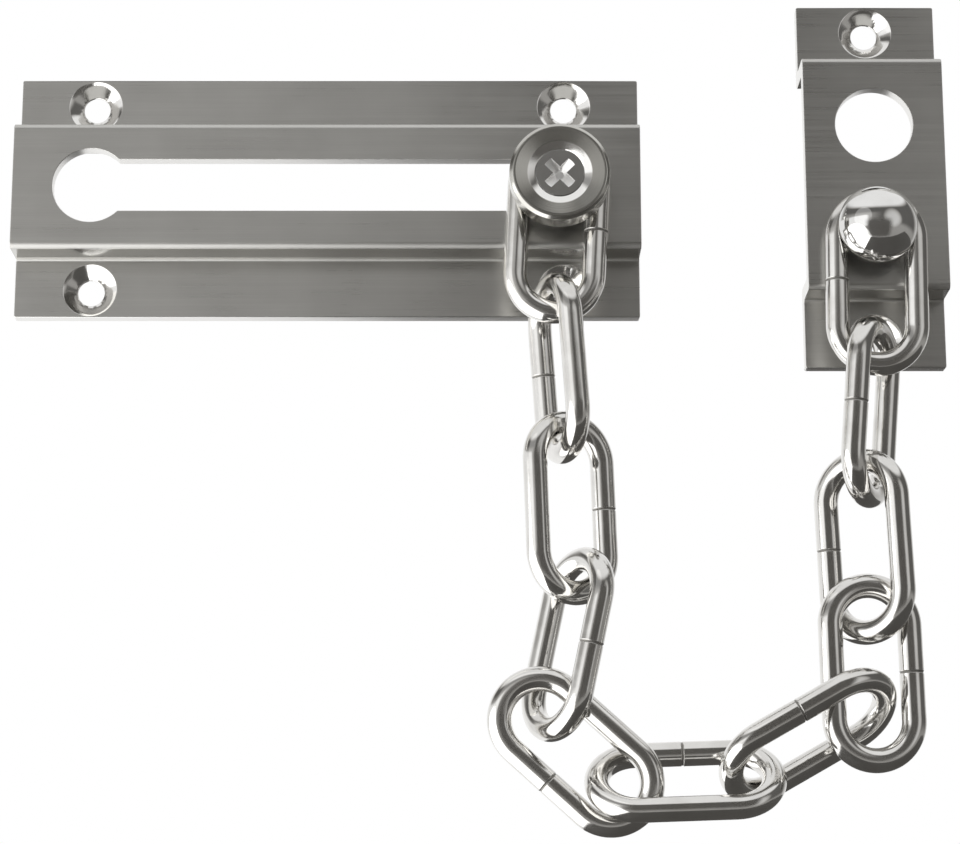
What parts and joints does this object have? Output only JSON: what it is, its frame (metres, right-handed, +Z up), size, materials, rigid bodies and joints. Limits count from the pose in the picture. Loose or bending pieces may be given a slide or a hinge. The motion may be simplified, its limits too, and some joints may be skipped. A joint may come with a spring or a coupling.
{
  "type": "door chain",
  "caption": "Door security chain: a slotted slide plate, a keeper plate with a domed stud, and a chain of welded oval links whose slider runs along the slot to a keyhole.",
  "frame": {"origin": "centre of the slide plate's four screw holes, on the door's surface", "axes": "+X along the slot towards the keeper, +Y into the door, +Z up"},
  "size_m": [0.1486, 0.0188, 0.1359],
  "materials": {
    "satin_nickel": "satin, brushed along the plate",
    "polished_chrome": "polished"
  },
  "bodies": {
    "brackets": {"slide_plate": "satin_nickel", "keeper_plate": "satin_nickel", "keeper_stud": "polished_chrome"},
    "slider": {"slider_foot": "polished_chrome", "slider_cap": "satin_nickel", "slider_screw": "polished_chrome"},
    "link_01": {"link_01": "polished_chrome"},
    "link_02": {"link_02": "polished_chrome"},
    "link_03": {"link_03": "polished_chrome"},
    "link_04": {"link_04": "polished_chrome"},
    "link_05": {"link_05": "polished_chrome"},
    "link_06": {"link_06": "polished_chrome"},
    "link_07": {"link_07": "polished_chrome"},
    "link_08": {"link_08": "polished_chrome"},
    "link_09": {"link_09": "polished_chrome"},
    "link_10": {"link_10": "polished_chrome"},
    "link_11": {"link_11": "polished_chrome"}
  },
  "joints": [
    {"name": "slider_slide", "type": "slide", "parent": "brackets", "child": "slider", "axis": [1, 0, 0], "range_m": [-0.0744, 0]},
    {"name": "link_01_swing", "type": "hinge", "parent": "slider", "child": "link_01", "pos_m": [0.0369, -0.01115, -0.0006], "axis": [0, -1, 0], "range_deg": [-2, 25.6]},
    {"name": "link_02_swing", "type": "hinge", "parent": "link_01", "child": "link_02", "pos_m": [0.03576, -0.01115, -0.01943], "axis": [0, -1, 0], "range_deg": [-5.5, 2]},
    {"name": "link_03_swing", "type": "hinge", "parent": "link_02", "child": "link_03", "pos_m": [0.03775, -0.01115, -0.04168], "axis": [0, -1, 0], "range_deg": [-2, 7.8]},
    {"name": "link_04_swing", "type": "hinge", "parent": "link_03", "child": "link_04", "pos_m": [0.03968, -0.01115, -0.0635], "axis": [0, -1, 0], "range_deg": [-2, 9.1]},
    {"name": "link_05_swing", "type": "hinge", "parent": "link_04", "child": "link_05", "pos_m": [0.03195, -0.01115, -0.08417], "axis": [0, -1, 0], "range_deg": [-7.6, 2]},
    {"name": "link_11_swing", "type": "hinge", "parent": "brackets", "child": "link_11", "pos_m": [0.0868, -0.01115, -0.008], "axis": [0, -1, 0], "range_deg": [-16.4, 2]},
    {"name": "link_10_swing", "type": "hinge", "parent": "link_11", "child": "link_10", "pos_m": [0.08632, -0.01115, -0.02715], "axis": [0, -1, 0], "range_deg": [-6, 2]},
    {"name": "link_09_swing", "type": "hinge", "parent": "link_10", "child": "link_09", "pos_m": [0.08336, -0.01115, -0.04819], "axis": [0, -1, 0], "range_deg": [-11.9, 2]},
    {"name": "link_08_swing", "type": "hinge", "parent": "link_09", "child": "link_08", "pos_m": [0.08371, -0.01115, -0.06858], "axis": [0, -1, 0], "range_deg": [-4.5, 2]},
    {"name": "link_07_swing", "type": "hinge", "parent": "link_08", "child": "link_07", "pos_m": [0.08484, -0.01115, -0.0865], "axis": [0, -1, 0], "range_deg": [-2, 16.7]},
    {"name": "link_06_swing", "type": "hinge", "parent": "link_07", "child": "link_06", "pos_m": [0.06549, -0.01115, -0.09436], "axis": [0, -1, 0], "range_deg": [-2, 18.6]}
  ],
  "couplings": [
    {"joint": "link_01_swing", "follows": "slider_slide", "rad_per_m": -5.5363},
    {"joint": "link_02_swing", "follows": "slider_slide", "rad_per_m": 0.82106},
    {"joint": "link_03_swing", "follows": "slider_slide", "rad_per_m": -1.3606},
    {"joint": "link_04_swing", "follows": "slider_slide", "rad_per_m": -1.6656},
    {"joint": "link_05_swing", "follows": "slider_slide", "rad_per_m": 1.3137},
    {"joint": "link_11_swing", "follows": "slider_slide", "rad_per_m": 3.3781},
    {"joint": "link_10_swing", "follows": "slider_slide", "rad_per_m": 0.93835},
    {"joint": "link_09_swing", "follows": "slider_slide", "rad_per_m": 2.3224},
    {"joint": "link_08_swing", "follows": "slider_slide", "rad_per_m": 0.58647},
    {"joint": "link_07_swing", "follows": "slider_slide", "rad_per_m": -3.4484},
    {"joint": "link_06_swing", "follows": "slider_slide", "rad_per_m": -3.8941}
  ]
}
